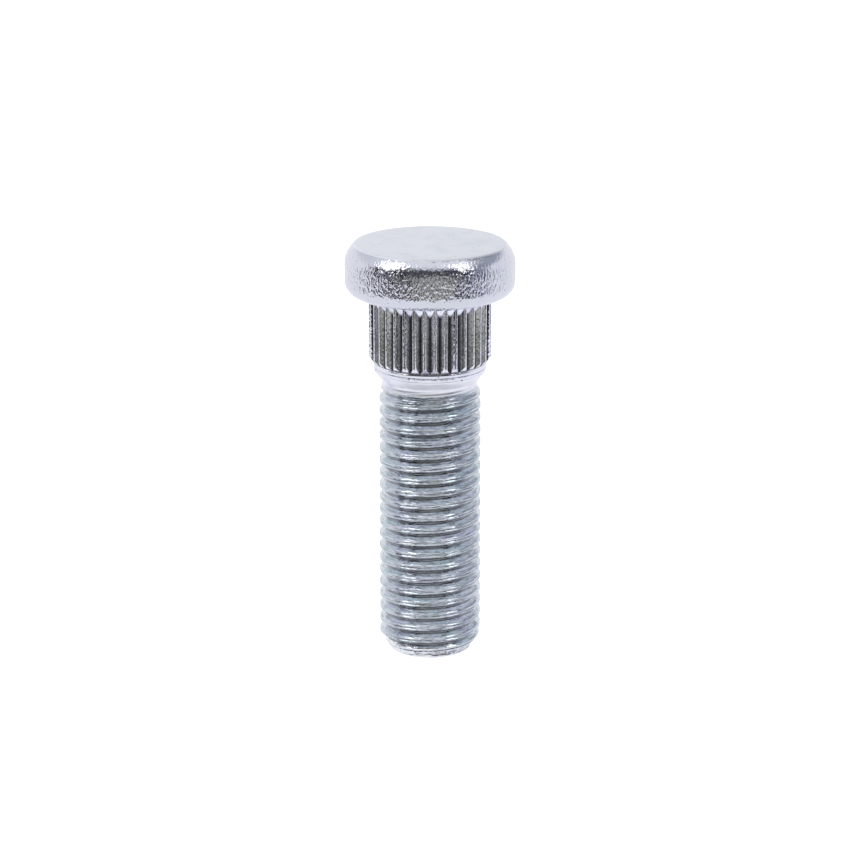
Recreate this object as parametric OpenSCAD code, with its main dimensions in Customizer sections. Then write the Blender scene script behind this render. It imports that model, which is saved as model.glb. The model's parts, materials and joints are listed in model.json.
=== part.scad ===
// Press-in wheel stud: a round head, a serrated collar pressed into the hub
// flange, a waisted neck, and a shank that carries the wheel nut's thread.
// The stud stands on its threaded end, with the axis on Z and the end face at
// z = 0. All sizes are in millimetres.

/* [Shank] */
// Distance from the end face to the head's underside
grip_length = 43.3; // [40:0.1:70]
// Outside diameter of the shank, over the thread crests
shank_d = 11.9; // [9.9:0.1:14]
// Length of the chamfer at the end
tip_chamfer_h = 1.95; // [0.9:0.05:2.4]
// Depth of the chamfer at the end, measured inwards
tip_chamfer_w = 1.3; // [0.6:0.05:1.6]
// Radius that breaks the edge of the end face
tip_round = 0.4; // [0.1:0.05:0.6]

/* [Neck] */
// How far the waist lies inside the shank's surface
waist_depth = 0.45; // [0.2:0.05:0.8]
// Length of the straight part of the waist
waist_h = 0.25; // [0.1:0.05:1]
// Radius of both bends of the taper
neck_bend = 1.0; // [0.4:0.05:1.4]
// Angle of the taper, measured from the axis
neck_angle = 40; // [30:1:50]
// Plain step between the taper and the serrations
step_h = 0.68; // [0.3:0.02:1.5]

/* [Serrated collar] */
// Number of teeth round the collar
teeth = 36; // [24:2:44]
// How far the teeth's crests stand outside the shank's surface
collar_rise = 1.2; // [1:0.05:2]
// Depth of the grooves between the teeth
tooth_depth = 0.55; // [0.3:0.05:0.7]
// Width of the flat crest of a tooth
crest_land = 0.18; // [0.1:0.02:0.3]
// Width of the flat root of a groove
root_land = 0.12; // [0.08:0.02:0.2]
// Length of the collar from its lower end to the head
collar_h = 8.0; // [5.5:0.1:14]
// Length of the chamfer at the lower end of the teeth
lead_h = 0.66; // [0.4:0.02:1.2]
// Length over which the grooves run out under the head
runout_h = 1.08; // [0.8:0.02:1.8]
// Gap between the top of the full crests and the head
runout_gap = 0.25; // [0.2:0.01:0.4]
// Fillet between the run-out and the head's underside
under_fillet = 0.3; // [0.1:0.05:0.4]

/* [Head] */
// How far the head stands out beyond the crests of the teeth
head_overhang = 2.75; // [2.5:0.05:6]
// Thickness of the head
head_h = 6.0; // [5.2:0.1:10]
// Width of the rounding round the top face
crown_w = 1.25; // [0.8:0.05:1.7]
// Height of the rounding round the top face
crown_h = 2.4; // [1.8:0.1:3]
// Radius of the rounding at the head's lower edge
seat_round = 1.6; // [0.8:0.1:1.8]

/* [Hidden] */
$fn = 96;
shank_r = shank_d / 2;
waist_r = shank_r - waist_depth;
crest_r = shank_r + collar_rise;
root_r = crest_r - tooth_depth;
head_r = crest_r + head_overhang;

// heights on the axis
under_z = grip_length;
top_z = under_z + head_h;
collar_z = under_z - collar_h;
neck_z = collar_z - step_h;

// the taper between two equal bends
taper_drop = root_r - waist_r;
bend_in = neck_bend * (1 - cos(neck_angle));
bend_down = neck_bend * sin(neck_angle);
straight_in = taper_drop - 2 * bend_in;
straight_down = straight_in / tan(neck_angle);
waist_z = neck_z - 2 * bend_down - straight_down;
shank_top_z = waist_z - waist_h - waist_depth;

// the run-out cone, carried on past the crests to the head's underside
runout_slope = tooth_depth / runout_h;
runout_angle = atan(runout_slope);
corner_r = crest_r + runout_gap * runout_slope;
fillet_reach = under_fillet * tan((90 - runout_angle) / 2);

// the broken edge of the end face
face_r = shank_r - tip_chamfer_w;
tip_angle = atan2(tip_chamfer_h, tip_chamfer_w);
tip_reach = tip_round * tan(tip_angle / 2);

// the crown's arc, which meets the side in one line and the face in a crease
crown_r = (crown_w * crown_w + crown_h * crown_h) / (2 * crown_w);
crown_z = top_z - crown_h;

// a groove's half widths at the crest and at the root
groove_pitch = 360 / teeth;
groove_half = PI * crest_r / teeth - crest_land / 2;
root_half = root_land / 2;
flank_slope = (groove_half - root_half) / tooth_depth;
groove_out = 0.5;
groove_in = root_half / flank_slope;

// how far one solid reaches into the next, so that they join
lap = 0.8;

// Half section of the plain shank with its chamfered end.
module shank_section() {
    polygon([
        [0, 0],
        [face_r - tip_reach, 0],
        [face_r + tip_reach * cos(tip_angle), tip_reach * sin(tip_angle)],
        [shank_r, tip_chamfer_h],
        [shank_r, shank_top_z],
        [waist_r, shank_top_z + waist_depth],
        [waist_r, waist_z],
        [0, waist_z]
    ]);
    translate([face_r - tip_reach, tip_round]) circle(tip_round);
}

// Half section of the neck: a bend outwards from the waist, a cone, and a
// bend back to the plain step below the teeth.
module neck_section() {
    difference() {
        union() {
            polygon([
                [0, waist_z - waist_h / 2],
                [waist_r, waist_z - waist_h / 2],
                [waist_r, waist_z],
                [waist_r + bend_in, waist_z + bend_down],
                [root_r - bend_in, neck_z - bend_down],
                [root_r, neck_z],
                [root_r, collar_z],
                [0, collar_z]
            ]);
            translate([root_r - neck_bend, neck_z]) circle(neck_bend);
        }
        intersection() {
            translate([waist_r + neck_bend, waist_z]) circle(neck_bend);
            translate([waist_r, waist_z]) square([neck_bend, bend_down]);
        }
    }
}

// Half section of the collar inside the teeth, with the run-out cone and the
// fillet under the head.
module core_section() {
    fillet_r = corner_r + fillet_reach;
    difference() {
        polygon([
            [0, collar_z - step_h / 2],
            [root_r, collar_z - step_h / 2],
            [root_r, under_z - runout_gap - runout_h],
            [corner_r - fillet_reach * sin(runout_angle),
             under_z - fillet_reach * cos(runout_angle)],
            [fillet_r, under_z],
            [fillet_r, under_z + lap],
            [0, under_z + lap]
        ]);
        translate([fillet_r, under_z - under_fillet]) circle(under_fillet);
    }
}

// Half section of the head: a flat seat, a rounded lower edge, a short straight
// side and a large rounding up to the flat top face.
module head_section() {
    translate([0, under_z]) square([head_r - seat_round, seat_round]);
    intersection() {
        translate([head_r - seat_round, under_z + seat_round]) circle(seat_round);
        translate([0, under_z]) square([head_r, seat_round]);
    }
    translate([0, under_z + seat_round])
        square([head_r, crown_z - under_z - seat_round]);
    intersection() {
        union() {
            translate([0, crown_z]) square([head_r - crown_r, crown_h]);
            translate([head_r - crown_r, crown_z]) circle(crown_r);
        }
        translate([0, crown_z]) square([head_r, crown_h]);
    }
}

// Outline of the teeth, seen along the axis: a disc with V grooves, one of
// which faces the front.
module teeth_outline() {
    difference() {
        circle(crest_r);
        for (i = [0 : teeth - 1]) {
            rotate(-90 + i * groove_pitch)
                polygon([
                    [root_r - groove_in, 0],
                    [crest_r + groove_out, -groove_half - flank_slope * groove_out],
                    [crest_r + groove_out, groove_half + flank_slope * groove_out]
                ]);
        }
    }
}

// Straight serrations whose lower ends are chamfered, and whose upper ends
// reach into the head.
module serrations() {
    lead_slope = tooth_depth / lead_h;
    lead_under = 0.3;
    intersection() {
        translate([0, 0, collar_z - lead_under])
            linear_extrude(collar_h + lead_under + lap) teeth_outline();
        rotate_extrude()
            polygon([
                [0, collar_z - lead_under],
                [root_r - lead_under * lead_slope, collar_z - lead_under],
                [crest_r, collar_z + lead_h],
                [crest_r + groove_out, collar_z + lead_h + groove_out / lead_slope],
                [crest_r + groove_out, under_z + 2 * lap],
                [0, under_z + 2 * lap]
            ]);
    }
}

// The whole stud, forged and rolled from one piece of steel.
module wheel_stud() {
    color([0.78, 0.79, 0.81]) {
        rotate_extrude() {
            intersection() {
                union() {
                    shank_section();
                    neck_section();
                    core_section();
                    head_section();
                }
                square([head_r, top_z]);
            }
        }
        serrations();
    }
}

wheel_stud();
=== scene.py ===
"""Visual model of a press-in wheel stud on a pale studio floor.

The stud stands on its threaded end, with its axis on Z and a groove of its
serrations facing the camera. One closed surface stands for the whole forged
and rolled piece: the head, the serrated collar, the neck, the rolled thread
and the chamfered end. Angles run round the axis from the front, towards +X.
Lengths are in metres, in the same frame as the solids, and the size fields of
the classes are in millimetres where their names end in _mm.
"""

import json
import logging
import math
from dataclasses import dataclass, field
from enum import Enum

import bpy
import numpy as np
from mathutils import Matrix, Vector
from numpy.typing import NDArray


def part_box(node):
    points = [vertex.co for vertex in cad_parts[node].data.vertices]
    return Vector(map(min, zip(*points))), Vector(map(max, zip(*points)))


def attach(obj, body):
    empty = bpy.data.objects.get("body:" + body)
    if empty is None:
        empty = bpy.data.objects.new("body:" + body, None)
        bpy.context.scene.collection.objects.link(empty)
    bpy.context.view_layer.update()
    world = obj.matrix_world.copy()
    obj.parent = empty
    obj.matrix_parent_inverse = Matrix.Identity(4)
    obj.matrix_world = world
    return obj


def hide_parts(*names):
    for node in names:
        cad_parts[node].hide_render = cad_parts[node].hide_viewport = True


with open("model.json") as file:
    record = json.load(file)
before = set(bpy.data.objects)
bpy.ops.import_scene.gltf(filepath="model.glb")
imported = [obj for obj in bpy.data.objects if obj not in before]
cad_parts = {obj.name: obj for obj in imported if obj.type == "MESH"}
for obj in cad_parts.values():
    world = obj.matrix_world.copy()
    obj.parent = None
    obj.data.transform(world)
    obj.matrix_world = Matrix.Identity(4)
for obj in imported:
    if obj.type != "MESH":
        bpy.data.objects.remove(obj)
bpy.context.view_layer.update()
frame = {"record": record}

log = logging.getLogger("wheel_stud")

FloatArray = NDArray[np.float64]
IntArray = NDArray[np.int64]
Colour = tuple[float, float, float]
Place = tuple[float, float, float]
Stops = tuple[tuple[float, Colour], ...]

MM = 0.001
NODE = "wheel_stud"

# steps round the axis of every ring outside the serrations
ROUND_STEPS = 144

# sizes of the solid that its mounts don't give
HEAD_H_MM = 6.0
STEP_H_MM = 0.68
LEAD_H_MM = 0.66
RUNOUT_GAP_MM = 0.25
TOOTH_DEPTH_MM = 0.55
WAIST_DEPTH_MM = 0.45


def mount_mm(name: str, key: str) -> float:
    """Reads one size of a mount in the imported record.

    Args:
        name: The mount's name.
        key: The size's key, such as r_mm.

    Returns:
        The size in millimetres.
    """
    for mount in frame["record"]["mounts"]:
        if mount["name"] == name:
            return float(mount["dims"][key])
    raise KeyError(name)


def soft_min(a: FloatArray, b: FloatArray, width: float) -> FloatArray:
    """Takes the smaller of two heights and rounds the edge where they meet.

    The formula is minus width times the logarithm of the sum of exp(-a/width)
    and exp(-b/width).

    Args:
        a: The first height.
        b: The second height.
        width: How far the rounding reaches; 0.7 of it is cut off at the edge.

    Returns:
        The rounded smaller height.
    """
    return -width * np.logaddexp(-a / width, -b / width)


def soft_max(a: FloatArray, b: FloatArray, width: float) -> FloatArray:
    """Takes the larger of two heights and rounds the corner between them.

    Args:
        a: The first height.
        b: The second height.
        width: How far the rounding reaches.

    Returns:
        The rounded larger height.
    """
    return width * np.logaddexp(a / width, b / width)


def arc(centre: tuple[float, float], radius: float, start: float, end: float,
        steps: int) -> FloatArray:
    """Points along a circle's arc in the plane of distance and height.

    Each point is the centre plus the radius times the cosine and the sine of
    an angle that runs evenly from the start to the end.

    Args:
        centre: Distance from the axis and height of the arc's centre.
        radius: The arc's radius.
        start: Angle of the first point, in degrees from the outward direction.
        end: Angle of the last point.
        steps: Number of steps between the two.

    Returns:
        An array of steps + 1 rows of distance and height.
    """
    angle = np.radians(np.linspace(start, end, steps + 1))
    return np.stack([centre[0] + radius * np.cos(angle),
                     centre[1] + radius * np.sin(angle)], axis=1)


class Shell:
    """A closed surface that is put together from bands of triangles."""

    def __init__(self) -> None:
        """Starts with no points and no triangles."""
        self._points: list[FloatArray] = []
        self._faces: list[IntArray] = []
        self._count = 0

    def _keep(self, points: FloatArray) -> int:
        """Adds points and returns the number of the first."""
        first = self._count
        self._points.append(points)
        self._count += len(points)
        return first

    def band(self, radius: FloatArray, height: FloatArray, angle: FloatArray) -> None:
        """Adds a band whose rows run round the axis, ordered from the top down.

        A point lies at radius times the sine of its angle in X, minus radius
        times the cosine in Y, and at its height in Z.

        Args:
            radius: Distance from the axis, one row of the array a row round.
            height: Height of each point, of the same shape.
            angle: Angle of each column, from the first round to the first again.
        """
        rows, cols = radius.shape
        points = np.stack([radius * np.sin(angle), -radius * np.cos(angle), height],
                          axis=-1)
        first = self._keep(points.reshape(-1, 3))
        number = first + np.arange(rows * cols).reshape(rows, cols)
        a, b = number[:-1, :-1], number[1:, :-1]
        c, d = number[1:, 1:], number[:-1, 1:]
        self._faces.append(np.stack([a, b, c], axis=-1).reshape(-1, 3))
        self._faces.append(np.stack([a, c, d], axis=-1).reshape(-1, 3))

    def lathe(self, profile: FloatArray) -> None:
        """Adds a band turned from a profile that is listed from the top down.

        Args:
            profile: Rows of distance from the axis and height.
        """
        angle = turn(ROUND_STEPS)
        ones = np.ones_like(angle)
        self.band(profile[:, :1] * ones, profile[:, 1:] * ones, angle)

    def widen(self, upper: tuple[float, float], upper_angle: FloatArray,
              lower: tuple[float, float], lower_angle: FloatArray) -> None:
        """Joins two rings, one of which has a whole multiple of the other's points.

        Each step of the coarse ring takes a fan to the first half of its share
        of fine points, one triangle across, and a fan to the second half.

        Args:
            upper: Distance and height of the ring that comes first on the way down.
            upper_angle: Its angles, closed.
            lower: Distance and height of the ring that comes second.
            lower_angle: Its angles, closed.
        """
        fine_below = len(lower_angle) > len(upper_angle)
        coarse_angle = upper_angle if fine_below else lower_angle
        fine_angle = lower_angle if fine_below else upper_angle
        coarse = upper if fine_below else lower
        fine = lower if fine_below else upper
        share = (len(fine_angle) - 1) // (len(coarse_angle) - 1)
        half = share // 2
        c = self._keep(ring(coarse, coarse_angle)) + np.arange(len(coarse_angle) - 1)
        f = self._keep(ring(fine, fine_angle))
        k = np.arange(len(fine_angle) - 1)
        owner = c[k // share] + (k % share >= half)
        fans = np.stack([owner, f + k, f + k + 1], axis=-1)
        middle = f + np.arange(len(coarse_angle) - 1) * share + half
        across = np.stack([c, middle, c + 1], axis=-1)
        faces = np.concatenate([fans, across])
        self._faces.append(faces if fine_below else faces[:, ::-1])

    def cap(self, radius: float, height: float, upward: bool) -> None:
        """Closes a ring with triangles to a point on the axis.

        Args:
            radius: The ring's radius.
            height: Its height, which is the middle point's too.
            upward: True where the closed face looks up.
        """
        first = self._keep(ring((radius, height), turn(ROUND_STEPS)))
        pole = self._keep(np.array([[0.0, 0.0, height]]))
        k = first + np.arange(ROUND_STEPS)
        fan = np.stack([np.full(ROUND_STEPS, pole), k, k + 1], axis=-1)
        self._faces.append(fan if upward else fan[:, ::-1])

    def welded(self, grain: float = 1e-8) -> tuple[FloatArray, IntArray]:
        """Merges points that lie together and drops what that leaves flat.

        Args:
            grain: Two points closer than about this are one.

        Returns:
            The points and the triangles.
        """
        points = np.concatenate(self._points)
        faces = np.concatenate(self._faces)
        _, keep, number = np.unique(np.round(points / grain).astype(np.int64), axis=0,
                                    return_index=True, return_inverse=True)
        faces = number.reshape(-1)[faces]
        whole = ((faces[:, 0] != faces[:, 1]) & (faces[:, 1] != faces[:, 2])
                 & (faces[:, 2] != faces[:, 0]))
        return points[keep], faces[whole]


def turn(columns: int) -> FloatArray:
    """Even angles once round the axis, the first repeated at the end."""
    return np.linspace(0.0, 2.0 * np.pi, columns + 1)


def ring(place: tuple[float, float], angle: FloatArray) -> FloatArray:
    """Points of one ring at a distance from the axis and a height."""
    return np.stack([place[0] * np.sin(angle), -place[0] * np.cos(angle),
                     np.full_like(angle, place[1])], axis=-1)


@dataclass(frozen=True)
class Levels:
    """Heights and radii that the stud's parts share, in millimetres."""

    top: float
    seat: float
    collar_low: float
    neck_top: float
    head_radius: float
    crest_radius: float
    root_radius: float
    shank_radius: float
    waist_radius: float

    @classmethod
    def from_frame(cls) -> "Levels":
        """Works the shared sizes out from the solid's box and the mounts."""
        low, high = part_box(NODE)
        crest = mount_mm("serrations", "r_mm")
        shank = mount_mm("thread", "r_mm")
        top = high.z / MM
        seat = top - HEAD_H_MM
        crest_low = seat - RUNOUT_GAP_MM - mount_mm("serrations", "length_mm")
        collar_low = crest_low - LEAD_H_MM
        return cls(
            top=top,
            seat=seat,
            collar_low=collar_low,
            neck_top=collar_low - STEP_H_MM,
            head_radius=(high.x - low.x) / 2 / MM,
            crest_radius=crest,
            root_radius=crest - TOOTH_DEPTH_MM,
            shank_radius=shank,
            waist_radius=shank - WAIST_DEPTH_MM,
        )


@dataclass(frozen=True)
class Head:
    """Round forged head: flat face, crown rounding, short side, rounded seat."""

    levels: Levels
    crown_w_mm: float = 1.25
    crown_h_mm: float = 2.4
    seat_round_mm: float = 1.6
    crease_mm: float = 0.06
    doming_mm: float = 0.05
    doming_w_mm: float = 1.2
    face_inner: float = 0.15
    face_rings: int = 6
    crease_steps: int = 4
    crown_steps: int = 16
    side_steps: int = 4
    lower_steps: int = 12

    @property
    def seat_edge(self) -> float:
        """Radius at which the flat seat meets the rounded lower edge."""
        return self.levels.head_radius - self.seat_round_mm

    def profile(self) -> FloatArray:
        """Lists the head's outline from the edge of its face down to the seat.

        The crown is an arc that is upright at the side and meets the face in a
        crease, so its radius is the sum of the squares of its width and height
        over twice its width. The crease is broken by a small arc of its own.

        Returns:
            Rows of distance from the axis and height, in millimetres.
        """
        lv = self.levels
        radius = (self.crown_w_mm ** 2 + self.crown_h_mm ** 2) / (2 * self.crown_w_mm)
        centre = (lv.head_radius - radius, lv.top - self.crown_h_mm)
        small = self.crease_mm
        # the small arc touches the face from below and the crown from inside
        edge = lv.top - self.doming_mm
        drop = edge - small - centre[1]
        inset = math.sqrt((radius - small) ** 2 - drop ** 2)
        touch = math.degrees(math.atan2(drop, inset))
        small_arc = arc((centre[0] + inset, edge - small), small, 90.0, touch,
                        self.crease_steps)
        crown = arc(centre, radius, touch, 0.0, self.crown_steps)
        side_low = lv.seat + self.seat_round_mm
        side = np.linspace([lv.head_radius, centre[1]], [lv.head_radius, side_low],
                           self.side_steps + 1)
        lower = arc((self.seat_edge, side_low), self.seat_round_mm, 0.0, -90.0,
                    self.lower_steps)
        return np.concatenate([small_arc, crown[1:], side[1:], lower[1:]])

    def build(self, shell: Shell) -> None:
        """Adds the face, the crown, the side and the lower edge.

        The face is flat in the middle. Near its edge it falls by the doming
        times the square of the share of the doming's width that is passed.

        Args:
            shell: The surface to add to.
        """
        outline = self.profile()
        edge = outline[0, 0]
        flat = edge - self.doming_w_mm
        radius = np.concatenate([
            np.linspace(self.face_inner, 1.0, self.face_rings) * flat,
            np.linspace(flat, edge, self.face_rings + 1)[1:]])
        share = np.clip((radius - flat) / self.doming_w_mm, 0.0, 1.0)
        face = np.stack([radius, self.levels.top - self.doming_mm * share ** 2], axis=1)
        shell.cap(face[0, 0] * MM, face[0, 1] * MM, upward=True)
        shell.lathe(face * MM)
        shell.lathe(outline * MM)


@dataclass(frozen=True)
class Collar:
    """Straight serrations between the seat and the plain step."""

    levels: Levels
    teeth: int = 36
    crest_land_mm: float = 0.22
    root_land_mm: float = 0.12
    runout_h_mm: float = 1.08
    fillet_mm: float = 0.3
    fillet_steps: int = 5
    edge_mm: float = 0.032
    step_margin_mm: float = 0.04
    shade_margin_mm: float = 0.02
    shade_least_mm: float = 0.1
    step_lines_mm: tuple[tuple[float, float], ...] = (
        (0.0, 0.0), (0.02, 0.1), (0.24, 0.0), (0.5, 0.045), (0.56, 0.12))
    tooth_columns: tuple[float, ...] = (0.0, 0.1, 0.36, 0.6, 0.72, 0.82, 0.9, 0.96)

    @property
    def depth(self) -> float:
        """Depth of the grooves."""
        return self.levels.crest_radius - self.levels.root_radius

    def angles(self) -> FloatArray:
        """Angles of the columns, closer together at the edges of a tooth.

        The list of shares of half a tooth's pitch is mirrored about the groove,
        the middle of the crest is added, and the whole is repeated round the axis.

        Returns:
            The closed list of angles, in radians.
        """
        half = np.pi / self.teeth
        share = np.array(self.tooth_columns)
        one = half * np.concatenate([share, [1.0], (2.0 - share)[:0:-1]])
        start = 2.0 * half * np.arange(self.teeth)
        return np.append((start[:, None] + one).reshape(-1), 2.0 * np.pi)

    def tooth_radius(self, angle: FloatArray) -> FloatArray:
        """Distance of the toothed outline from the axis.

        A flank is a straight line from the root land's edge to the crest land's
        edge. In polar form its distance is (root radius times slope less half
        the root land) over (slope times the cosine less the sine) of the angle
        from the groove's middle. Crest and root circles cut it off, with small
        roundings.

        Args:
            angle: Angle from the front, in radians.

        Returns:
            The distance for each angle, in millimetres.
        """
        lv = self.levels
        half_pitch = np.pi / self.teeth
        off = np.abs((angle + half_pitch) % (2 * half_pitch) - half_pitch)
        groove_half = half_pitch * lv.crest_radius - self.crest_land_mm / 2
        root_half = self.root_land_mm / 2
        slope = (groove_half - root_half) / self.depth
        flank = (lv.root_radius * slope - root_half) / (slope * np.cos(off) - np.sin(off))
        crest = soft_min(np.full_like(off, lv.crest_radius), flank, self.edge_mm)
        return np.maximum(soft_max(np.full_like(off, lv.root_radius), crest,
                                   self.edge_mm), lv.root_radius)

    def build(self, shell: Shell, seat_edge: float) -> None:
        """Adds the seat, the run-out cone, the teeth, their chamfer and the step.

        On each column the cone gives way to the tooth where it reaches the
        tooth's radius, and so does the chamfer, so both lines fall on rows. Two
        turned grooves leave a bead on the step; each pair of step_lines_mm is a
        distance below the teeth and the depth there.

        Args:
            shell: The surface to add to.
            seat_edge: Radius at which the head's rounding reaches the seat, in mm.
        """
        lv = self.levels
        angle = self.angles()
        tooth = self.tooth_radius(angle)
        rise = (tooth - lv.root_radius) / self.depth
        slope = self.depth / self.runout_h_mm
        lean = math.atan(slope)
        corner = lv.crest_radius + RUNOUT_GAP_MM * slope
        reach = self.fillet_mm * math.tan((math.pi / 2 - lean) / 2)
        fillet = arc((corner + reach, lv.seat - self.fillet_mm), self.fillet_mm, 90.0,
                     180.0 - math.degrees(lean), self.fillet_steps)
        ones = np.ones_like(angle)
        shell.widen((seat_edge * MM, lv.seat * MM), turn(ROUND_STEPS),
                    (fillet[0, 0] * MM, lv.seat * MM), angle)
        shell.band(fillet[:, :1] * ones * MM, fillet[:, 1:] * ones * MM, angle)

        root_top = lv.seat - RUNOUT_GAP_MM - self.runout_h_mm
        cone_end = root_top + self.runout_h_mm * rise
        tooth_end = lv.collar_low + LEAD_H_MM * rise
        step_end = lv.neck_top + self.step_margin_mm
        cone_top = np.full_like(angle, fillet[-1, 1])
        cone_radius = np.full_like(angle, fillet[-1, 0])
        base = np.full_like(angle, lv.root_radius)
        low = np.full_like(angle, lv.collar_low)
        self._span(shell, angle, cone_radius, cone_top, tooth, cone_end)
        self._span(shell, angle, tooth, cone_end, tooth, tooth_end)
        self._span(shell, angle, tooth, tooth_end, base, low)
        lines = [(base - depth, low - drop) for drop, depth in self.step_lines_mm]
        lines.append((base, np.full_like(angle, step_end)))
        for upper, lower in zip(lines, lines[1:]):
            self._span(shell, angle, *upper, *lower)
        shell.widen((lv.root_radius * MM, step_end * MM), angle,
                    (lv.root_radius * MM, lv.neck_top * MM), turn(ROUND_STEPS))

    def _span(self, shell: Shell, angle: FloatArray, upper_r: FloatArray,
              upper_z: FloatArray, lower_r: FloatArray, lower_z: FloatArray) -> None:
        """Adds a band of straight lines from one ring to another.

        Two extra rows lie close to the rings, so that the shading turns there
        and stays flat between them.

        Args:
            shell: The surface to add to.
            angle: Angles of the columns.
            upper_r: Distances of the upper ring, in millimetres.
            upper_z: Heights of the upper ring.
            lower_r: Distances of the lower ring.
            lower_z: Heights of the lower ring.
        """
        tall = max(float(np.max(upper_z - lower_z)), self.shade_least_mm)
        near = self.shade_margin_mm / tall
        t = np.array([0.0, near, 1.0 / 3.0, 2.0 / 3.0, 1.0 - near, 1.0])[:, None]
        shell.band((upper_r + (lower_r - upper_r) * t) * MM,
                   (upper_z + (lower_z - upper_z) * t) * MM, angle)


@dataclass(frozen=True)
class Neck:
    """Taper between the step and the waist, made of two bends and a cone."""

    levels: Levels
    bend_mm: float = 1.0
    lean_deg: float = 40.0
    line_drop_mm: float = 0.3
    line_width_mm: float = 0.05
    line_depth_mm: float = 0.035
    steps: int = 40

    @property
    def waist_top(self) -> float:
        """Height at which the taper reaches the waist."""
        lean = math.radians(self.lean_deg)
        drop = self.levels.root_radius - self.levels.waist_radius
        straight = drop - 2 * self.bend_mm * (1 - math.cos(lean))
        return (self.levels.neck_top - 2 * self.bend_mm * math.sin(lean)
                - straight / math.tan(lean))

    def radius(self, z: FloatArray) -> FloatArray:
        """Distance of the neck's surface from the axis at given heights.

        Within a bend's height of either end the radius follows a circle, and
        between them a straight line with the taper's lean. A bell-shaped line,
        left by the turning tool, runs round the upper bend.

        Args:
            z: Heights in millimetres, below the step.

        Returns:
            Distances in millimetres.
        """
        lv = self.levels
        lean = math.radians(self.lean_deg)
        bend = self.bend_mm
        below = np.clip(lv.neck_top - z, 0.0, bend * math.sin(lean))
        above = np.clip(z - self.waist_top, 0.0, bend * math.sin(lean))
        upper = lv.root_radius - bend + np.sqrt(bend ** 2 - below ** 2)
        lower = lv.waist_radius + bend - np.sqrt(bend ** 2 - above ** 2)
        start = lv.neck_top - bend * math.sin(lean)
        cone = lv.root_radius - bend * (1 - math.cos(lean)) - (start - z) * math.tan(lean)
        on_cone = (z < start) & (z > self.waist_top + bend * math.sin(lean))
        plain = np.where(on_cone, cone, np.where(z >= start, upper, lower))
        off_line = (lv.neck_top - self.line_drop_mm - z) / self.line_width_mm
        return plain - self.line_depth_mm * np.exp(-off_line ** 2)

    def build(self, shell: Shell, bottom: float) -> None:
        """Adds the smooth part of the neck above the first turn of the thread.

        Args:
            shell: The surface to add to.
            bottom: Height at which the thread's band takes over, in millimetres.
        """
        z = np.linspace(self.levels.neck_top, bottom, self.steps + 1)
        shell.lathe(np.stack([self.radius(z), z], axis=1) * MM)


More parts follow.
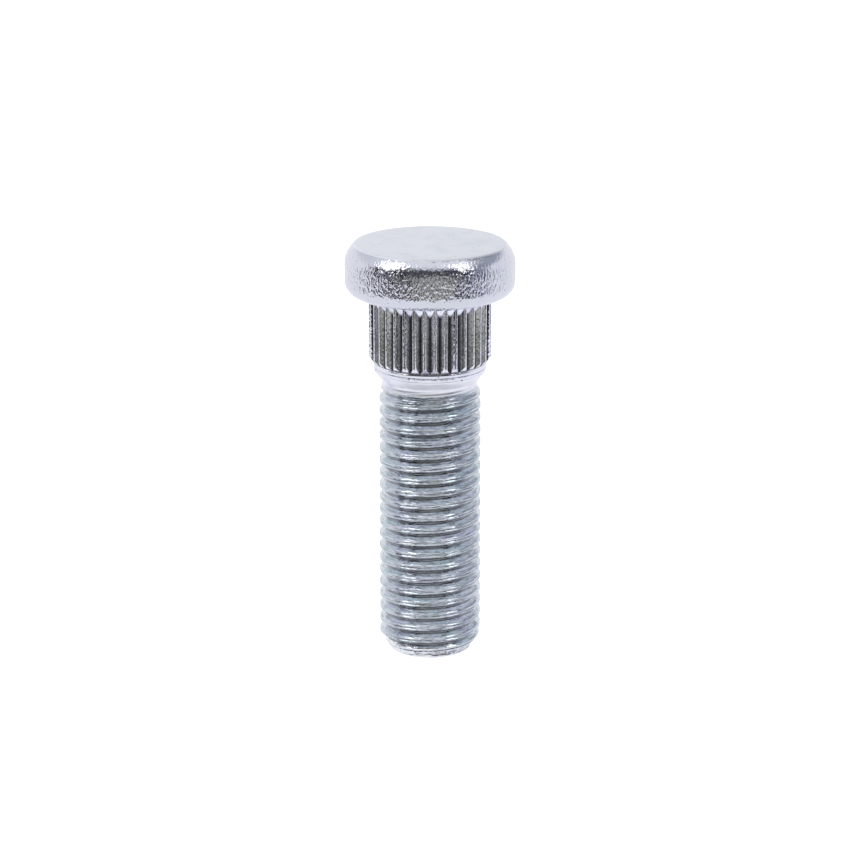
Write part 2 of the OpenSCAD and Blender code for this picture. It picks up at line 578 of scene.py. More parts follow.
@dataclass(frozen=True)
class RolledThread:
    """Right-hand rolled thread with a run-out at the neck and a chamfered end."""

    levels: Levels
    neck: Neck
    pitch_mm: float = 1.5
    depth_mm: float = 0.8
    crest_mm: float = 0.46
    flank_deg: float = 30.0
    crest_round_mm: float = 0.03
    root_round_mm: float = 0.06
    seam_mm: float = 0.075
    seam_depth_mm: float = 0.2
    seam_level: float = 0.7
    seam_waves: tuple[tuple[float, float], ...] = ((0.2, 2.3), (0.1, 5.1))
    tip_seam_mm: float = 0.3
    tip_seam_w_mm: float = 0.07
    front_root_mm: float = 0.415
    runout_top_mm: float = 33.4
    runout_mm: float = 2.4
    chamfer_h_mm: float = 1.95
    chamfer_w_mm: float = 1.3
    tip_round_mm: float = 0.4
    tip_band_mm: float = 0.35
    tip_fade_mm: float = 0.25
    tip_groove_mm: float = 0.36
    tip_steps: int = 6
    face_rings: tuple[float, ...] = (0.55, 0.2)
    turns_above: int = 3
    turns_below: int = 1
    rows: tuple[float, ...] = (0.0, 0.05, 0.11, 0.18, 0.24, 0.30, 0.36, 0.64, 0.71)

    def _offsets(self) -> FloatArray:
        """Distances of one pitch's rows from the middle of a crest."""
        upper = np.array(self.rows)
        return np.concatenate([-upper[:0:-1], upper])

    def _from_crest(self, angle: FloatArray, z: FloatArray) -> FloatArray:
        """Height between a point and the middle of the nearest crest."""
        climb = self.pitch_mm * angle / (2 * np.pi)
        along = (z - climb - self.front_root_mm) % self.pitch_mm
        return np.abs(along - self.pitch_mm / 2)

    def turn_radius(self, angle: FloatArray, z: FloatArray) -> FloatArray:
        """Distance of the full thread's surface from the axis.

        A crest lies half a pitch from the root line, which climbs one pitch a
        turn. From the crest's flat the surface falls with the flank's angle to
        the root, and both edges are rounded. A bell-shaped seam, where the
        rolled metal closed, runs along the middle of the crest. Its depth is a
        level plus sine waves along the helix, each with its share and its rate.

        Args:
            angle: Angle from the front, in radians.
            z: Height in millimetres.

        Returns:
            Distances in millimetres.
        """
        lv = self.levels
        off = self._from_crest(angle, z)
        flank = lv.shank_radius - (off - self.crest_mm / 2) / math.tan(
            math.radians(self.flank_deg))
        crest = soft_min(np.full_like(off, lv.shank_radius), flank, self.crest_round_mm)
        along_helix = 2 * np.pi * (z - self.front_root_mm) / self.pitch_mm
        uneven = np.full_like(off, self.seam_level)
        for share, rate in self.seam_waves:
            uneven = uneven + share * np.sin(rate * along_helix)
        seam = self.seam_depth_mm * uneven * np.exp(-(off / self.seam_mm) ** 2)
        return soft_max(np.full_like(off, lv.shank_radius - self.depth_mm), crest - seam,
                        self.root_round_mm)

    def radius(self, angle: FloatArray, z: FloatArray) -> FloatArray:
        """Distance of the shank's surface from the axis, thread and ends included.

        Near the neck the turns swell from nothing about the waist's radius. At
        the end the chamfer's cone cuts them off, and carries shallow grooves of
        its own, a share of the full ones, that fade towards the end face.

        Args:
            angle: Angle from the front, in radians.
            z: Height in millimetres.

        Returns:
            Distances in millimetres.
        """
        lv = self.levels
        t = np.clip((self.runout_top_mm - z) / self.runout_mm, 0.0, 1.0)
        swell = t * t * (3.0 - 2.0 * t)
        blank = self.neck.radius(z)
        full = self.turn_radius(angle, z)
        threaded = blank + swell * (full - lv.waist_radius)
        cone = (lv.shank_radius - self.chamfer_w_mm
                + z * self.chamfer_w_mm / self.chamfer_h_mm)
        fade = np.clip((z - self.tip_band_mm) / self.tip_fade_mm, 0.0, 1.0)
        share = self.tip_groove_mm / self.depth_mm
        off = self._from_crest(angle, z) / self.tip_seam_w_mm
        gap = self.tip_seam_mm * np.exp(-off ** 2)
        return np.minimum(threaded, cone - fade * (share * (lv.shank_radius - full) + gap))

    def build(self, shell: Shell) -> None:
        """Adds the threaded shank, the broken edge of its end, and the end face.

        The rows follow the thread's climb, and are held between the top and
        bottom of the band, where those of the spare turns above and below fall
        together and are welded.

        Args:
            shell: The surface to add to.
        """
        low, high = self.tip_band_mm, self.runout_top_mm
        pitch = self.pitch_mm
        highest = int((high - low) / pitch) + self.turns_above
        number = np.arange(highest, -self.turns_below - 1, -1)
        crest = self.front_root_mm + pitch / 2 + pitch * number
        base = (crest[:, None] + self._offsets()[::-1]).reshape(-1)
        angle = turn(ROUND_STEPS)
        z = np.clip(base[:, None] + pitch * angle / (2 * np.pi), low, high)
        shell.band(self.radius(angle, z) * MM, z * MM, angle)
        tip = self.tip_profile() * MM
        shell.lathe(tip)
        shell.cap(tip[-1, 0], tip[-1, 1], upward=False)

    def tip_profile(self) -> FloatArray:
        """Outline from the chamfer's cone round the broken edge to the end face.

        Returns:
            Rows of distance and height in millimetres, from the top down.
        """
        lean = math.atan2(self.chamfer_h_mm, self.chamfer_w_mm)
        face = self.levels.shank_radius - self.chamfer_w_mm
        reach = self.tip_round_mm * math.tan(lean / 2)
        slope = self.chamfer_w_mm / self.chamfer_h_mm
        start = np.array([[face + self.tip_band_mm * slope, self.tip_band_mm]])
        edge = arc((face - reach, self.tip_round_mm), self.tip_round_mm,
                   math.degrees(lean) - 90.0, -90.0, self.tip_steps)
        inner = np.array([[face * share, 0.0] for share in self.face_rings])
        return np.concatenate([start, edge, inner])


class Zone(Enum):
    """Stretches of the stud whose plating looks different."""

    FACE = 0
    HEAD = 1
    COLLAR = 2
    STEP = 3
    NECK = 4
    SHANK = 5
    END = 6


class NodeSheet:
    """Short calls for laying out shader nodes."""

    def __init__(self, tree: bpy.types.NodeTree) -> None:
        """Takes an empty node tree to fill."""
        self.tree = tree
        self.tree.nodes.clear()

    def add(self, kind: str, **values: object) -> bpy.types.Node:
        """Adds a node and sets its properties, or its inputs by name.

        Args:
            kind: The node's type name.
            values: Properties, or inputs whose names have _ for spaces.

        Returns:
            The new node.
        """
        node = self.tree.nodes.new(kind)
        for name, value in values.items():
            if hasattr(node, name):
                setattr(node, name, value)
            else:
                node.inputs[name.replace("_", " ")].default_value = value
        return node

    def link(self, source: bpy.types.NodeSocket, target: bpy.types.NodeSocket) -> None:
        """Joins an output to an input."""
        self.tree.links.new(source, target)

    def calc(self, operation: str,
             *values: bpy.types.NodeSocket | float) -> bpy.types.NodeSocket:
        """Adds a Math node and fills its inputs in order.

        Args:
            operation: What the node works out.
            values: Sockets to read, or plain numbers.

        Returns:
            The result's socket.
        """
        node = self.add("ShaderNodeMath", operation=operation)
        for target, value in zip(node.inputs, values):
            if isinstance(value, bpy.types.NodeSocket):
                self.link(value, target)
            else:
                target.default_value = value
        return node.outputs[0]

    def part(self, coords: bpy.types.NodeSocket, axis: str) -> bpy.types.NodeSocket:
        """Takes one coordinate of a place or direction.

        Args:
            coords: The place or direction.
            axis: X, Y or Z.

        Returns:
            The coordinate's socket.
        """
        node = self.add("ShaderNodeSeparateXYZ")
        self.link(coords, node.inputs[0])
        return node.outputs[axis]

    def scaled(self, coords: bpy.types.NodeSocket,
               factors: Place) -> bpy.types.NodeSocket:
        """Multiplies coordinates by a factor along each axis.

        Args:
            coords: The coordinates.
            factors: The factors for X, Y and Z.

        Returns:
            The new coordinates' socket.
        """
        node = self.add("ShaderNodeVectorMath", operation="MULTIPLY")
        self.link(coords, node.inputs[0])
        node.inputs[1].default_value = factors
        return node.outputs[0]

    def length(self, coords: bpy.types.NodeSocket) -> bpy.types.NodeSocket:
        """Measures how far a place lies from the origin.

        Args:
            coords: The place.

        Returns:
            The distance's socket.
        """
        node = self.add("ShaderNodeVectorMath", operation="LENGTH")
        self.link(coords, node.inputs[0])
        return node.outputs["Value"]

    def bump(self, height: bpy.types.NodeSocket, depth_mm: float,
             normal: bpy.types.NodeSocket | None = None) -> bpy.types.NodeSocket:
        """Tilts the surface's normal as a relief would.

        Args:
            height: The relief's height, as a share of its depth.
            depth_mm: The relief's depth.
            normal: The normal to start from, where another bump gives one.

        Returns:
            The tilted normal's socket.
        """
        node = self.add("ShaderNodeBump", Strength=1.0, Distance=depth_mm * MM)
        self.link(height, node.inputs["Height"])
        if normal is not None:
            self.link(normal, node.inputs["Normal"])
        return node.outputs["Normal"]

    def ramp(self, value: bpy.types.NodeSocket, low: float, high: float,
             to_low: float = 0.0, to_high: float = 1.0) -> bpy.types.NodeSocket:
        """Maps a value from one range to another, smoothly and within its ends.

        Args:
            value: The socket to read.
            low: Value that gives to_low.
            high: Value that gives to_high.
            to_low: Result at the low end.
            to_high: Result at the high end.

        Returns:
            The result's socket.
        """
        node = self.add("ShaderNodeMapRange", interpolation_type="SMOOTHSTEP")
        for name, number in (("From Min", low), ("From Max", high),
                             ("To Min", to_low), ("To Max", to_high)):
            node.inputs[name].default_value = number
        self.link(value, node.inputs["Value"])
        return node.outputs["Result"]

    def blend(self, share: bpy.types.NodeSocket, first: object,
              second: object) -> bpy.types.NodeSocket:
        """Mixes two colours, each a socket or a plain colour.

        Args:
            share: How much of the second.
            first: The first colour.
            second: The second colour.

        Returns:
            The mixed colour's socket.
        """
        node = self.add("ShaderNodeMix", data_type="RGBA")
        self.link(share, node.inputs["Factor"])
        for name, value in (("A", first), ("B", second)):
            socket = [s for s in node.inputs if s.name == name and s.type == "RGBA"][0]
            if isinstance(value, bpy.types.NodeSocket):
                self.link(value, socket)
            else:
                socket.default_value = (*value, 1.0)
        return [s for s in node.outputs if s.type == "RGBA"][0]

    def azimuth(self, coords: bpy.types.NodeSocket) -> bpy.types.NodeSocket:
        """Turns a place or direction into its angle from the front, towards +X.

        Args:
            coords: The place or direction.

        Returns:
            The angle's socket, in radians.
        """
        ahead = self.calc("MULTIPLY", self.part(coords, "Y"), -1.0)
        return self.calc("ARCTAN2", self.part(coords, "X"), ahead)

    def bands(self, angle: bpy.types.NodeSocket, stops: Stops) -> bpy.types.NodeSocket:
        """Gives a colour that changes with an angle round the axis.

        Args:
            angle: The angle's socket, in radians.
            stops: Angles in degrees, from -180 to 180, each with its colour.

        Returns:
            The colour's socket.
        """
        scaled = self.add("ShaderNodeMapRange")
        scaled.inputs["From Min"].default_value = -math.pi
        scaled.inputs["From Max"].default_value = math.pi
        self.link(angle, scaled.inputs["Value"])
        node = self.add("ShaderNodeValToRGB")
        points = node.color_ramp.elements
        while len(points) < len(stops):
            points.new(0.5)
        for point, (degrees, colour) in zip(points, stops):
            point.position = (degrees + 180.0) / 360.0
            point.color = (*colour, 1.0)
        self.link(scaled.outputs["Result"], node.inputs["Fac"])
        return node.outputs["Color"]

    def noise(self, coords: bpy.types.NodeSocket, grain_mm: float, detail: float = 3.0,
              rough: float = 0.55) -> bpy.types.NodeSocket:
        """Adds noise whose lumps are about a given size.

        Args:
            coords: Coordinates in metres.
            grain_mm: Size of the lumps.
            detail: Number of finer layers.
            rough: Strength of each finer layer.

        Returns:
            The noise value's socket.
        """
        node = self.add("ShaderNodeTexNoise", Scale=1.0 / (grain_mm * MM), Detail=detail,
                        Roughness=rough)
        self.link(coords, node.inputs["Vector"])
        return node.outputs["Fac"]


@dataclass(frozen=True)
class ZincPlating:
    """Bright zinc plating, crinkled by the forging or streaked by the rolling."""

    name: str
    base: Colour = (0.70, 0.71, 0.78)
    cloudy: Colour = (0.66, 0.69, 0.73)
    violet: Colour = (0.66, 0.65, 0.78)
    tint_mm: float = 4.0
    crinkle_mm: float = 0.2
    crinkle_depth_mm: float = 0.13
    crinkle_detail: float = 1.0
    calm_above_mm: tuple[float, float] = (100.0, 101.0)
    calm_below_mm: tuple[float, float] = (-2.0, -1.0)
    squeeze: tuple[float, float] = (1.0, 1.0)
    streak_share: float = 0.0
    pit_mm: float = 0.9
    pit_share: float = 0.35
    ripple_mm: float = 1.2
    ripple_depth_mm: float = 0.006
    roll_lines: int = 0
    roll_climb_mm: float = 1.5
    roll_depth_mm: float = 0.016
    roughness: float = 0.05
    roughness_spread: float = 0.06
    # the roots of the grooves get painted shade in the grime colour, full at the distance
    # root_mm and none at crest_mm; the same colour also marks the real pits and streaks
    root_mm: float = 0.0
    crest_mm: float = 0.0
    grime_and_root_shade: Colour = (0.16, 0.16, 0.18)
    # parts of the noise's range over which each thing comes in
    noise_range: tuple[float, float] = (0.3, 0.7)
    cloudy_range: tuple[float, float] = (0.45, 0.75)
    violet_range: tuple[float, float] = (0.5, 0.78)
    streak_range: tuple[float, float] = (0.52, 0.62)
    roll_fade_range: tuple[float, float] = (0.35, 0.6)
    # what is left of the crinkle and the rolled lines where they are weakest
    calm_above_share: float = 0.3
    calm_below_share: float = 0.4
    roll_least: float = 0.3
    # how far a rolled line's phase wanders, in radians
    roll_wander: float = 1.6
    # a pit's rim, as distances from the middle of its cell
    pit_edge: tuple[float, float] = (0.08, 0.17)

    def build(self) -> bpy.types.Material:
        """Makes the material, whose roughness varies with a fine noise.

        Returns:
            The finished material.
        """
        material = bpy.data.materials.new(self.name)
        material.use_nodes = True
        sheet = NodeSheet(material.node_tree)
        coords = sheet.add("ShaderNodeTexCoord").outputs["Object"]
        across, along = self.squeeze
        squeezed = sheet.scaled(coords, (across, across, along))
        speck = sheet.noise(coords, self.crinkle_mm * 2.0, detail=4.0)
        rough = sheet.ramp(speck, *self.noise_range, self.roughness,
                           self.roughness + self.roughness_spread)
        metal = sheet.add("ShaderNodeBsdfPrincipled", Metallic=1.0)
        sheet.link(self._colour(sheet, coords, squeezed), metal.inputs["Base Color"])
        sheet.link(rough, metal.inputs["Roughness"])
        sheet.link(self._normal(sheet, coords, squeezed), metal.inputs["Normal"])
        out = sheet.add("ShaderNodeOutputMaterial")
        sheet.link(metal.outputs["BSDF"], out.inputs["Surface"])
        return material

    def _colour(self, sheet: NodeSheet, coords: bpy.types.NodeSocket,
                squeezed: bpy.types.NodeSocket) -> bpy.types.NodeSocket:
        """Mixes the plating's colour.

        Two cloudy tints of the passivation lie over the zinc's colour, the roots
        of the grooves are darkened as painted shade, and small pits and streaks are dark.

        Args:
            sheet: The material's nodes.
            coords: Object coordinates.
            squeezed: The same coordinates, squeezed for the streaks.

        Returns:
            The colour's socket.
        """
        cloud = sheet.noise(coords, self.tint_mm, detail=2.0)
        drift = sheet.noise(coords, self.tint_mm * 0.6, detail=3.0)
        colour = sheet.blend(sheet.ramp(cloud, *self.cloudy_range), self.base,
                             self.cloudy)
        colour = sheet.blend(sheet.ramp(drift, *self.violet_range), colour, self.violet)
        # painted shade: the roots of the grooves are darkened towards the grime colour
        if self.crest_mm > self.root_mm:
            colour = sheet.blend(self._root_shade_mask(sheet, coords), colour, self.grime_and_root_shade)
        colour = sheet.blend(self._pits(sheet, coords), colour, self.grime_and_root_shade)
        if self.streak_share > 0.0:
            lines = sheet.noise(squeezed, self.crinkle_mm * 0.8, detail=2.0)
            streaks = sheet.ramp(lines, *self.streak_range, 0.0, self.streak_share)
            colour = sheet.blend(streaks, colour, self.grime_and_root_shade)
        return colour

    def _normal(self, sheet: NodeSheet, coords: bpy.types.NodeSocket,
                squeezed: bpy.types.NodeSocket) -> bpy.types.NodeSocket:
        """Breaks the reflections with a fine and a broad bump.

        The lumps of the fine bump are longer along one way where squeeze is
        below one, and lower in the two calm stretches. Rolled metal has lines
        between the two.

        Args:
            sheet: The material's nodes.
            coords: Object coordinates.
            squeezed: The same coordinates, squeezed for the fine bump.

        Returns:
            The normal's socket.
        """
        height = sheet.part(coords, "Z")
        above = sheet.ramp(height, self.calm_above_mm[0] * MM, self.calm_above_mm[1] * MM,
                           1.0, self.calm_above_share)
        below = sheet.ramp(height, self.calm_below_mm[0] * MM, self.calm_below_mm[1] * MM,
                           self.calm_below_share, 1.0)
        lumps = sheet.noise(squeezed, self.crinkle_mm, detail=self.crinkle_detail)
        crinkle = sheet.calc("MULTIPLY", lumps, sheet.calc("MULTIPLY", above, below))
        normal = sheet.bump(crinkle, self.crinkle_depth_mm)
        if self.roll_lines:
            normal = sheet.bump(self._rolled(sheet, coords, squeezed),
                                self.roll_depth_mm, normal)
        ripple = sheet.noise(coords, self.ripple_mm, detail=2.0)
        return sheet.bump(ripple, self.ripple_depth_mm, normal)

    def _rolled(self, sheet: NodeSheet, coords: bpy.types.NodeSocket,
                squeezed: bpy.types.NodeSocket) -> bpy.types.NodeSocket:
        """Draws fine lines that climb with the thread.

        The height is the sine of a phase, which is the number of lines times
        (two pi times the height over the climb of one turn, less the angle).
        Noise makes the lines wander, and fades them here and there.

        Args:
            sheet: The material's nodes.
            coords: Object coordinates.
            squeezed: The same coordinates, squeezed for the lines' wandering.

        Returns:
            The height's socket, from -1 to 1.
        """
        turned = sheet.calc("MULTIPLY", sheet.azimuth(coords), -float(self.roll_lines))
        per_metre = 2.0 * math.pi * self.roll_lines / (self.roll_climb_mm * MM)
        phase = sheet.calc("MULTIPLY_ADD", sheet.part(coords, "Z"), per_metre, turned)
        drift = sheet.noise(squeezed, self.crinkle_mm * 2.0, detail=2.0)
        wander = sheet.ramp(drift, *self.noise_range, -self.roll_wander, self.roll_wander)
        wave = sheet.calc("SINE", sheet.calc("ADD", phase, wander))
        fade = sheet.ramp(drift, *self.roll_fade_range, self.roll_least, 1.0)
        return sheet.calc("MULTIPLY", wave, fade)

    def _pits(self, sheet: NodeSheet,
              coords: bpy.types.NodeSocket) -> bpy.types.NodeSocket:
        """Marks small round pits, each in the middle of a cell that has one.

        Args:
            sheet: The material's nodes.
            coords: Object coordinates.

        Returns:
            A socket that is 1 in a pit and 0 elsewhere.
        """
        cells = sheet.add("ShaderNodeTexVoronoi", Scale=1.0 / (self.pit_mm * MM))
        sheet.link(coords, cells.inputs["Vector"])
        inside = sheet.ramp(cells.outputs["Distance"], *self.pit_edge, 1.0, 0.0)
        draw = sheet.add("ShaderNodeSeparateColor")
        sheet.link(cells.outputs["Color"], draw.inputs[0])
        chosen = sheet.calc("LESS_THAN", draw.outputs[0], self.pit_share)
        return sheet.calc("MULTIPLY", inside, chosen)

    def _root_shade_mask(self, sheet: NodeSheet,
                    coords: bpy.types.NodeSocket) -> bpy.types.NodeSocket:
        """Tells how far down a groove a point lies, from its distance to the axis.

        Args:
            sheet: The material's nodes.
            coords: Object coordinates.

        Returns:
            A socket that is 1 at the root and 0 at the crest.
        """
        # painted shade: this share darkens the roots of the grooves
        distance = sheet.length(sheet.scaled(coords, (1.0, 1.0, 0.0)))
        return sheet.ramp(distance, self.root_mm * MM, self.crest_mm * MM, 1.0, 0.0)


@dataclass
class WheelStud:
    """The whole stud, one piece of steel."""

    levels: Levels
    # where a zone ends, measured from the level that it is named after
    face_edge_mm: float = 0.2
    seat_edge_mm: float = 0.02
    past_line_mm: float = 0.08
    past_waist_mm: float = 0.3
    past_chamfer_mm: float = 0.4
    # an edge that turns by more than this is shaded as sharp
    crease_deg: float = 50.0
    head: Head = field(init=False)
    collar: Collar = field(init=False)
    neck: Neck = field(init=False)
    thread: RolledThread = field(init=False)

    def __post_init__(self) -> None:
        """Gives each part the shared levels."""
        self.head = Head(self.levels)
        self.collar = Collar(self.levels)
        self.neck = Neck(self.levels)
        self.thread = RolledThread(self.levels, self.neck)

    def surface(self) -> tuple[FloatArray, IntArray]:
        """Builds the closed surface from the head's face down to the end face."""
        shell = Shell()
        self.head.build(shell)
        self.collar.build(shell, self.head.seat_edge)
        self.neck.build(shell, self.thread.runout_top_mm)
        self.thread.build(shell)
        return shell.welded()

    def zones(self, points: FloatArray, faces: IntArray) -> IntArray:
        """Tells which stretch of the stud each triangle belongs to.

        Args:
            points: The surface's points, in metres.
            faces: Its triangles.

        Returns:
            The zone's number for each triangle.
        """
        z = points[faces][:, :, 2].mean(axis=1) / MM
        lv = self.levels
        lower_ends = {
            Zone.FACE: lv.top - self.face_edge_mm,
            Zone.HEAD: lv.seat - self.seat_edge_mm,
            Zone.COLLAR: lv.collar_low,
            Zone.STEP: lv.neck_top - self.neck.line_drop_mm - self.past_line_mm,
            Zone.NECK: self.neck.waist_top - self.past_waist_mm,
            Zone.SHANK: self.thread.chamfer_h_mm - self.past_chamfer_mm,
        }
        return np.select([z > end for end in lower_ends.values()],
                         [zone.value for zone in lower_ends], Zone.END.value)

    def finishes(self) -> dict[Zone, ZincPlating]:
        """Names the plating of each zone."""
        lv = self.levels
        thread_root = lv.shank_radius - self.thread.depth_mm
        return {
            Zone.FACE: ZincPlating("zinc_face", base=(0.93, 0.94, 0.98),
                                   cloudy=(0.86, 0.89, 0.92), violet=(0.86, 0.86, 0.94),
                                   crinkle_depth_mm=0.012, roughness=0.4,
                                   pit_mm=0.7, pit_share=0.12, grime_and_root_shade=(0.5, 0.5, 0.54)),
            Zone.HEAD: ZincPlating("zinc_forged", crinkle_mm=0.27,
                                   crinkle_depth_mm=0.16, squeeze=(1.0, 0.6),
                                   calm_above_mm=(lv.top - 2.2, lv.top - 1.3),
                                   calm_below_mm=(lv.seat + 0.9, lv.seat + 1.7),
                                   roughness=0.02, roughness_spread=0.04,
                                   pit_mm=0.6, grime_and_root_shade=(0.3, 0.3, 0.33)),
            Zone.COLLAR: ZincPlating("zinc_serrated", base=(0.90, 0.91, 1.0),
                                     crinkle_depth_mm=0.016, squeeze=(1.0, 0.5),
                                     ripple_mm=0.9, ripple_depth_mm=0.012,
                                     streak_share=0.22, pit_mm=0.45, pit_share=0.2,
                                     roughness=0.03, roughness_spread=0.05,
                                     # painted shade: the groove roots darken towards the
                                     # near-black grime colour, which also colours the pits
                                     # and streaks
                                     root_mm=lv.root_radius + 0.02,
                                     crest_mm=lv.root_radius + 0.26,
                                     grime_and_root_shade=(0.12, 0.12, 0.14)),
            Zone.STEP: ZincPlating("zinc_turned", base=(0.82, 0.83, 0.90),
                                   crinkle_depth_mm=0.02, pit_share=0.1),
            Zone.NECK: ZincPlating("zinc_blank", base=(0.92, 0.93, 0.98),
                                   crinkle_mm=0.15, crinkle_depth_mm=0.02,
                                   squeeze=(0.15, 1.0), roughness=0.38,
                                   pit_share=0.05),
            Zone.SHANK: ZincPlating("zinc_rolled", base=(0.68, 0.72, 0.77),
                                    cloudy=(0.60, 0.69, 0.72),
                                    crinkle_mm=0.16, crinkle_depth_mm=0.075,
                                    crinkle_detail=2.0, squeeze=(0.09, 1.0),
                                    streak_share=0.5, pit_mm=0.5, pit_share=0.2,
                                    roll_lines=5, roughness=0.03,
                                    # painted shade: the thread's roots darken towards the
                                    # grime colour, which also colours the pits and streaks
                                    root_mm=thread_root + 0.05,
                                    crest_mm=thread_root + 0.24,
                                    grime_and_root_shade=(0.31, 0.32, 0.34)),
            Zone.END: ZincPlating("zinc_end", base=(0.90, 0.92, 0.96),
                                  crinkle_mm=0.22, crinkle_depth_mm=0.18,
                                  squeeze=(0.3, 1.0), streak_share=0.2,
                                  pit_mm=0.5, pit_share=0.15, roll_lines=5,
                                  roughness=0.03,
                                  grime_and_root_shade=(0.3, 0.3, 0.33)),
        }

    def build(self) -> bpy.types.Object:
        """Makes the stud's object, dresses it and hands it to the frame.

        Returns:
            The finished object.
        """
        points, faces = self.surface()
        mesh = bpy.data.meshes.new("stud")
        mesh.from_pydata(points, [], faces)
        finishes = self.finishes()
        for zone in Zone:
            mesh.materials.append(finishes[zone].build())
        mesh.polygons.foreach_set("material_index",
                                  self.zones(points, faces).astype(np.int32))
        mesh.polygons.foreach_set("use_smooth", np.ones(len(faces), dtype=bool))
        mesh.set_sharp_from_angle(angle=math.radians(self.crease_deg))
        mesh.update()
        stud = bpy.data.objects.new("stud", mesh)
        bpy.context.scene.collection.objects.link(stud)
        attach(stud, "root")
        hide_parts(NODE)
        log.info("stud: %d points, %d triangles", len(points), len(faces))
        return stud


@dataclass(frozen=True)
class Studio:
    """Pale floor, banded surround, two soft lamps overhead and the camera."""

    floor_radius: float = 0.6
    floor_sides: int = 96
    floor_colour: Colour = (0.86, 0.86, 0.87)
    floor_fill: float = 0.8
    # distances from the stud over which the painted shadow in the floor's reflection fades
    # into the pale paper
    contact_edge: tuple[float, float] = (0.006, 0.014)
    paper_edge: tuple[float, float] = (0.100, 0.118)
    middle_edge: tuple[float, float] = (0.146, 0.158)
    low_dome_rise: tuple[float, float] = (0.30, 0.48)
    high_dome_rise: tuple[float, float] = (0.55, 0.90)
    white: Colour = (1.0, 1.0, 1.0)
    # the pale glow of the floor's painted reflection round the stud
    paper: Colour = (0.94, 0.95, 1.0)
    # painted shadow: what metal sees of the floor close to the stud, a little darker than
    # the paper
    contact_shadow: Colour = (0.92, 0.93, 0.96)
    lamps: tuple[tuple[str, Place, tuple[float, float]], ...] = (
        ("softbox_left", (-0.364, -0.162, 0.419), (0.28, 0.32)),
        ("softbox_right", (0.331, -0.215, 0.422), (0.19, 0.32)),
    )
    lamp_target: Place = (0.0, 0.0, 0.045)
    lamp_glow: float = 1.36
    # painted reflection: the floor's glow to glossy rays between its two edges, banded by
    # direction round the stud
    middle: Stops = (
        (-180.0, (0.94, 0.95, 1.0)),
        (-52.0, (0.94, 0.95, 1.0)),
        (-46.0, (0.03, 0.03, 0.04)),
        (-38.0, (0.05, 0.05, 0.06)),
        (-28.0, (0.19, 0.19, 0.18)),
        (-4.0, (0.15, 0.15, 0.13)),
        (14.0, (0.20, 0.20, 0.17)),
        (31.0, (0.27, 0.27, 0.24)),
        (38.0, (0.05, 0.05, 0.06)),
        (46.0, (0.03, 0.03, 0.05)),
        (52.0, (0.88, 0.89, 0.96)),
        (180.0, (0.94, 0.95, 1.0)),
    )
    # bands by direction for the world's light low round the stud, and for the floor's
    # painted reflection past its outer edge
    around: Stops = (
        (-180.0, (0.95, 0.96, 0.98)),
        (-93.0, (0.94, 0.95, 0.98)),
        (-87.0, (0.02, 0.02, 0.03)),
        (-70.0, (0.02, 0.02, 0.03)),
        (-64.0, (0.80, 0.81, 0.85)),
        (-58.0, (0.02, 0.02, 0.03)),
        (-38.0, (0.03, 0.03, 0.04)),
        (-26.0, (0.24, 0.24, 0.23)),
        (-4.0, (0.41, 0.41, 0.38)),
        (14.0, (0.50, 0.50, 0.45)),
        (30.0, (0.40, 0.40, 0.37)),
        (36.0, (0.02, 0.02, 0.03)),
        (56.0, (0.02, 0.02, 0.04)),
        (62.0, (0.26, 0.28, 0.35)),
        (83.0, (0.34, 0.36, 0.46)),
        (90.0, (0.88, 0.89, 0.94)),
        (180.0, (0.95, 0.96, 0.98)),
    )
    low_dome: Stops = (
        (-180.0, (0.80, 0.82, 0.86)),
        (-140.0, (0.70, 0.74, 0.78)),
        (-95.0, (0.80, 0.82, 0.86)),
        (-75.0, (0.45, 0.46, 0.48)),
        (-60.0, (0.08, 0.08, 0.09)),
        (60.0, (0.07, 0.07, 0.09)),
        (75.0, (0.30, 0.31, 0.38)),
        (100.0, (0.38, 0.40, 0.48)),
        (140.0, (0.40, 0.43, 0.50)),
        (180.0, (0.80, 0.82, 0.86)),
    )
    high_dome: Stops = (
        (-180.0, (0.12, 0.13, 0.14)),
        (-166.0, (0.16, 0.17, 0.18)),
        (-150.0, (0.64, 0.66, 0.69)),
        (-118.0, (0.80, 0.82, 0.85)),
        (-100.0, (0.92, 0.93, 0.96)),
        (95.0, (0.92, 0.93, 0.96)),
        (115.0, (0.17, 0.19, 0.21)),
        (150.0, (0.12, 0.13, 0.15)),
        (180.0, (0.12, 0.13, 0.14)),
    )
    camera_distance: float = 0.3697
    camera_height: float = 0.1362
    camera_pitch_deg: float = 16.49
    camera_lens: float = 137.76
    camera_sensor: float = 36.0
    camera_clip: tuple[float, float] = (0.01, 10.0)

    def build(self) -> None:
        """Makes the whole set."""
        self.floor()
        self.surround()
        for name, place, size in self.lamps:
            self.lamp(name, place, size)
        self.camera()

    def floor(self) -> None:
        """Lays the pale floor, a flat disc under the stud."""
        angle = turn(self.floor_sides)[:-1]
        mesh = bpy.data.meshes.new("floor")
        points = ring((self.floor_radius, 0.0), angle)
        mesh.from_pydata(points, [], [list(range(len(points)))])
        mesh.materials.append(self.floor_material())
        floor = bpy.data.objects.new("floor", mesh)
        bpy.context.scene.collection.objects.link(floor)

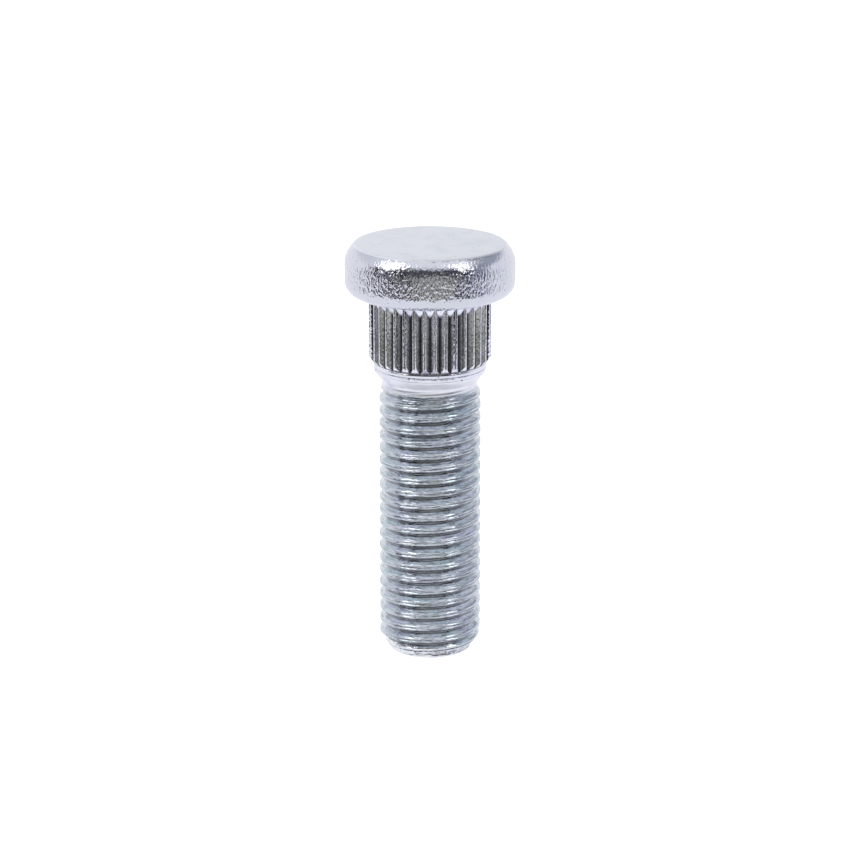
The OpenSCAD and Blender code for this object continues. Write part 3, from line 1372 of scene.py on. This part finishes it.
    def floor_material(self) -> bpy.types.Material:
        """Makes the floor's paper, which metal sees otherwise than the camera does.

        The camera sees lit white paper. Metal sees a painted reflection: the
        floor glows pale round the stud, a little darker close to it as painted
        shadow, and past two edges in grey bands that change with direction.

        Returns:
            The finished material.
        """
        material = bpy.data.materials.new("floor_paper")
        material.use_nodes = True
        sheet = NodeSheet(material.node_tree)
        path = sheet.add("ShaderNodeLightPath")
        paper = sheet.add("ShaderNodeBsdfDiffuse", Color=(*self.floor_colour, 1.0))
        fill = sheet.add("ShaderNodeEmission", Color=(*self.white, 1.0))
        strength = sheet.calc("MULTIPLY", path.outputs["Is Camera Ray"], self.floor_fill)
        sheet.link(strength, fill.inputs["Strength"])
        lit = sheet.add("ShaderNodeAddShader")
        sheet.link(paper.outputs[0], lit.inputs[0])
        sheet.link(fill.outputs[0], lit.inputs[1])

        # painted reflection: to glossy rays the floor glows in these colours instead of
        # being lit, a little darker close to the stud as painted shadow
        coords = sheet.add("ShaderNodeTexCoord").outputs["Object"]
        distance, angle = sheet.length(coords), sheet.azimuth(coords)
        seen = sheet.blend(sheet.ramp(distance, *self.contact_edge), self.contact_shadow,
                           self.paper)
        for edge, bands in ((self.paper_edge, self.middle),
                            (self.middle_edge, self.around)):
            seen = sheet.blend(sheet.ramp(distance, *edge), seen,
                               sheet.bands(angle, bands))
        glow = sheet.add("ShaderNodeEmission", Strength=1.0)
        sheet.link(seen, glow.inputs["Color"])
        mirror = sheet.add("ShaderNodeMixShader")
        sheet.link(path.outputs["Is Glossy Ray"], mirror.inputs[0])
        sheet.link(lit.outputs[0], mirror.inputs[1])
        sheet.link(glow.outputs[0], mirror.inputs[2])
        out = sheet.add("ShaderNodeOutputMaterial")
        sheet.link(mirror.outputs[0], out.inputs["Surface"])
        return material

    def surround(self) -> None:
        """Makes the world, white to the camera and banded to everything else.

        The bands change with the direction round the stud, and with its rise
        they go over from the ring around to the low and then the high dome.
        """
        world = bpy.data.worlds.new("surround")
        world.use_nodes = True
        bpy.context.scene.world = world
        sheet = NodeSheet(world.node_tree)
        direction = sheet.add("ShaderNodeTexCoord").outputs["Generated"]
        rise = sheet.part(direction, "Z")
        angle = sheet.azimuth(direction)
        sky = sheet.blend(sheet.ramp(rise, *self.low_dome_rise),
                          sheet.bands(angle, self.around),
                          sheet.bands(angle, self.low_dome))
        sky = sheet.blend(sheet.ramp(rise, *self.high_dome_rise), sky,
                          sheet.bands(angle, self.high_dome))
        camera = sheet.add("ShaderNodeLightPath").outputs["Is Camera Ray"]
        seen = sheet.blend(camera, sky, self.white)
        back = sheet.add("ShaderNodeBackground", Strength=1.0)
        sheet.link(seen, back.inputs["Color"])
        out = sheet.add("ShaderNodeOutputWorld")
        sheet.link(back.outputs[0], out.inputs["Surface"])

    def lamp(self, name: str, place: Place, size: tuple[float, float]) -> None:
        """Hangs a soft rectangular lamp that looks at the stud.

        Its power is its area times pi times the glow, so that its reflection
        has the same brightness whatever its size.

        Args:
            name: The lamp's name.
            place: Where its middle hangs.
            size: Its width and height.
        """
        light = bpy.data.lights.new(name, "AREA")
        light.shape = "RECTANGLE"
        light.size, light.size_y = size
        light.energy = self.lamp_glow * math.pi * size[0] * size[1]
        lamp = bpy.data.objects.new(name, light)
        lamp.location = place
        aim = Vector(self.lamp_target) - Vector(place)
        lamp.rotation_euler = aim.to_track_quat("-Z", "Y").to_euler()
        bpy.context.scene.collection.objects.link(lamp)

    def camera(self) -> None:
        """Sets the camera in front of the stud, above it and looking down."""
        data = bpy.data.cameras.new("camera")
        data.sensor_width = self.camera_sensor
        data.lens = self.camera_lens
        data.clip_start, data.clip_end = self.camera_clip
        camera = bpy.data.objects.new("camera", data)
        camera.location = (0.0, -self.camera_distance, self.camera_height)
        camera.rotation_euler = (math.radians(90.0 - self.camera_pitch_deg), 0.0, 0.0)
        bpy.context.scene.collection.objects.link(camera)
        bpy.context.scene.camera = camera


def main() -> None:
    """Builds the stud and the set round it."""
    logging.basicConfig(level=logging.INFO, format="%(message)s")
    bpy.context.scene.view_settings.view_transform = "Standard"
    WheelStud(Levels.from_frame()).build()
    Studio().build()


if __name__ == "__main__":
    main()
